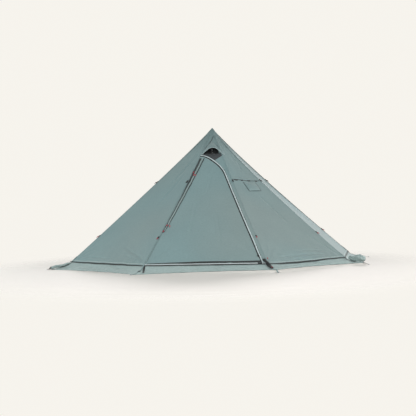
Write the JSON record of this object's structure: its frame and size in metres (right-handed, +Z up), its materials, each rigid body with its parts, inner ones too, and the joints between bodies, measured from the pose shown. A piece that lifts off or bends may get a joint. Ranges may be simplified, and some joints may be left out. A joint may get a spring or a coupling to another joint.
{
  "type": "pyramid tent",
  "caption": "Eight-sided pyramid tent on a centre pole, with a zipped door, a hooded vent, a stove jack and a snow skirt.",
  "frame": {"origin": "on the ground under the peak, at the middle of the pole foot's base", "axes": "+Z up along the centre pole, -Y out through the door's face, +X to the right of someone who looks at the door from outside"},
  "size_m": [4.6598, 4.6598, 1.986],
  "materials": {
    "canopy_cloth": "coated woven cloth, grey green",
    "seam_tape": "folded and stitched seam",
    "skirt_cloth": "lighter coated cloth",
    "black_webbing": "black webbing",
    "light_webbing": "light grey webbing",
    "vent_net": "black net",
    "heat_patch": "heat-proof glass cloth",
    "steel": "bent wire",
    "aluminium": "drawn tube",
    "black_plastic": "moulded",
    "red_toggle": "moulded",
    "rubber": "moulded"
  },
  "bodies": {
    "root": {"panel_front": "canopy_cloth", "panel_front_right": "canopy_cloth", "panel_right": "canopy_cloth", "panel_rear_right": "canopy_cloth", "panel_rear": "canopy_cloth", "panel_rear_left": "canopy_cloth", "panel_left": "canopy_cloth", "panel_front_left": "canopy_cloth", "door_frame_right": "canopy_cloth", "vent_hood": "canopy_cloth", "ridge_seam_front_left": "seam_tape", "ridge_seam_front_right": "seam_tape", "ridge_seam_right_front": "seam_tape", "ridge_seam_right_rear": "seam_tape", "ridge_seam_rear_right": "seam_tape", "ridge_seam_rear_left": "seam_tape", "ridge_seam_left_rear": "seam_tape", "ridge_seam_left_front": "seam_tape", "peak_cap": "seam_tape", "skirt_front": "skirt_cloth", "skirt_front_right": "skirt_cloth", "skirt_right": "skirt_cloth", "skirt_rear_right": "skirt_cloth", "skirt_rear": "skirt_cloth", "skirt_rear_left": "skirt_cloth", "skirt_left": "skirt_cloth", "skirt_front_left": "skirt_cloth", "corner_strap_front_left": "black_webbing", "corner_strap_front_right": "black_webbing", "corner_strap_right_front": "black_webbing", "corner_strap_right_rear": "black_webbing", "corner_strap_rear_right": "black_webbing", "corner_strap_rear_left": "black_webbing", "corner_strap_left_rear": "black_webbing", "corner_strap_left_front": "black_webbing", "door_sill_strap": "light_webbing", "vent_net": "vent_net", "stove_jack_patch": "heat_patch", "pole_section_1": "aluminium", "pole_section_2": "aluminium", "pole_section_3": "aluminium", "pole_section_4": "aluminium", "pole_cup": "black_plastic", "pole_tip": "black_plastic", "pole_foot": "rubber"},
    "door": {"door_leaf": "canopy_cloth"},
    "zip_slider": {"zip_slider": "black_plastic"},
    "zip_pull": {"zip_pull": "black_plastic"},
    "stove_flap": {"stove_jack_flap": "canopy_cloth"},
    "vent_strut": {"vent_strut": "black_plastic"},
    "door_toggle_lower": {"door_toggle_lower": "red_toggle"},
    "door_toggle_upper": {"door_toggle_upper": "red_toggle"},
    "peg_ring_front_left": {"peg_ring_front_left": "steel"},
    "peg_ring_front_right": {"peg_ring_front_right": "steel"},
    "peg_ring_right_front": {"peg_ring_right_front": "steel"},
    "peg_ring_right_rear": {"peg_ring_right_rear": "steel"},
    "peg_ring_rear_right": {"peg_ring_rear_right": "steel"},
    "peg_ring_rear_left": {"peg_ring_rear_left": "steel"},
    "peg_ring_left_rear": {"peg_ring_left_rear": "steel"},
    "peg_ring_left_front": {"peg_ring_left_front": "steel"}
  },
  "joints": [
    {"name": "door_swing", "type": "hinge", "parent": "root", "child": "door", "pos_m": [-0.81405, -1.9653, 0.1183], "axis": [-0.2925, -0.7061, -0.6449], "range_deg": [0, 100]},
    {"name": "zip_slider_travel", "type": "slide", "parent": "door", "child": "zip_slider", "axis": [-0.2922, 0.707, 0.644], "range_m": [0, 1.53]},
    {"name": "zip_pull_swing", "type": "hinge", "parent": "zip_slider", "child": "zip_pull", "pos_m": [0.68341, -1.87549, 0.20838], "axis": [-0.9555, -0.222, -0.1945], "range_deg": [0, 130]},
    {"name": "stove_flap_lift", "type": "hinge", "parent": "root", "child": "stove_flap", "pos_m": [0.53984, -0.52676, 1.182], "axis": [-0.6103, -0.7922, 0], "range_deg": [0, 140]},
    {"name": "vent_strut_fold", "type": "hinge", "parent": "root", "child": "vent_strut", "pos_m": [0.00353, -0.38566, 1.6842], "axis": [-1, 0, 0], "range_deg": [0, 70]},
    {"name": "door_toggle_lower_swing", "type": "hinge", "parent": "door", "child": "door_toggle_lower", "pos_m": [-0.51973, -1.40103, 0.6159], "axis": [-0.9999, 0.0114, 0], "range_deg": [0, 120]},
    {"name": "door_toggle_upper_swing", "type": "hinge", "parent": "door", "child": "door_toggle_upper", "pos_m": [-0.20674, -0.64681, 1.31087], "axis": [-0.9993, 0.0366, 0], "range_deg": [0, 120]},
    {"name": "peg_ring_front_left_lift", "type": "hinge", "parent": "root", "child": "peg_ring_front_left", "pos_m": [-0.95479, -2.30508, 0.0046], "axis": [-0.9239, 0.3827, 0], "range_deg": [0, 100]},
    {"name": "peg_ring_front_right_lift", "type": "hinge", "parent": "root", "child": "peg_ring_front_right", "pos_m": [0.95479, -2.30508, 0.0046], "axis": [-0.9239, -0.3827, 0], "range_deg": [0, 100]},
    {"name": "peg_ring_right_front_lift", "type": "hinge", "parent": "root", "child": "peg_ring_right_front", "pos_m": [2.19583, -0.90954, 0.0046], "axis": [-0.3827, -0.9239, 0], "range_deg": [0, 100]},
    {"name": "peg_ring_right_rear_lift", "type": "hinge", "parent": "root", "child": "peg_ring_right_rear", "pos_m": [2.30508, 0.95479, 0.0046], "axis": [0.3827, -0.9239, 0], "range_deg": [0, 100]},
    {"name": "peg_ring_rear_right_lift", "type": "hinge", "parent": "root", "child": "peg_ring_rear_right", "pos_m": [0.95479, 2.30508, 0.0046], "axis": [0.9239, -0.3827, 0], "range_deg": [0, 100]},
    {"name": "peg_ring_rear_left_lift", "type": "hinge", "parent": "root", "child": "peg_ring_rear_left", "pos_m": [-0.95479, 2.30508, 0.0046], "axis": [0.9239, 0.3827, 0], "range_deg": [0, 100]},
    {"name": "peg_ring_left_rear_lift", "type": "hinge", "parent": "root", "child": "peg_ring_left_rear", "pos_m": [-2.30508, 0.95479, 0.0046], "axis": [0.3827, 0.9239, 0], "range_deg": [0, 100]},
    {"name": "peg_ring_left_front_lift", "type": "hinge", "parent": "root", "child": "peg_ring_left_front", "pos_m": [-2.30508, -0.95479, 0.0046], "axis": [-0.3827, 0.9239, 0], "range_deg": [0, 100]}
  ]
}
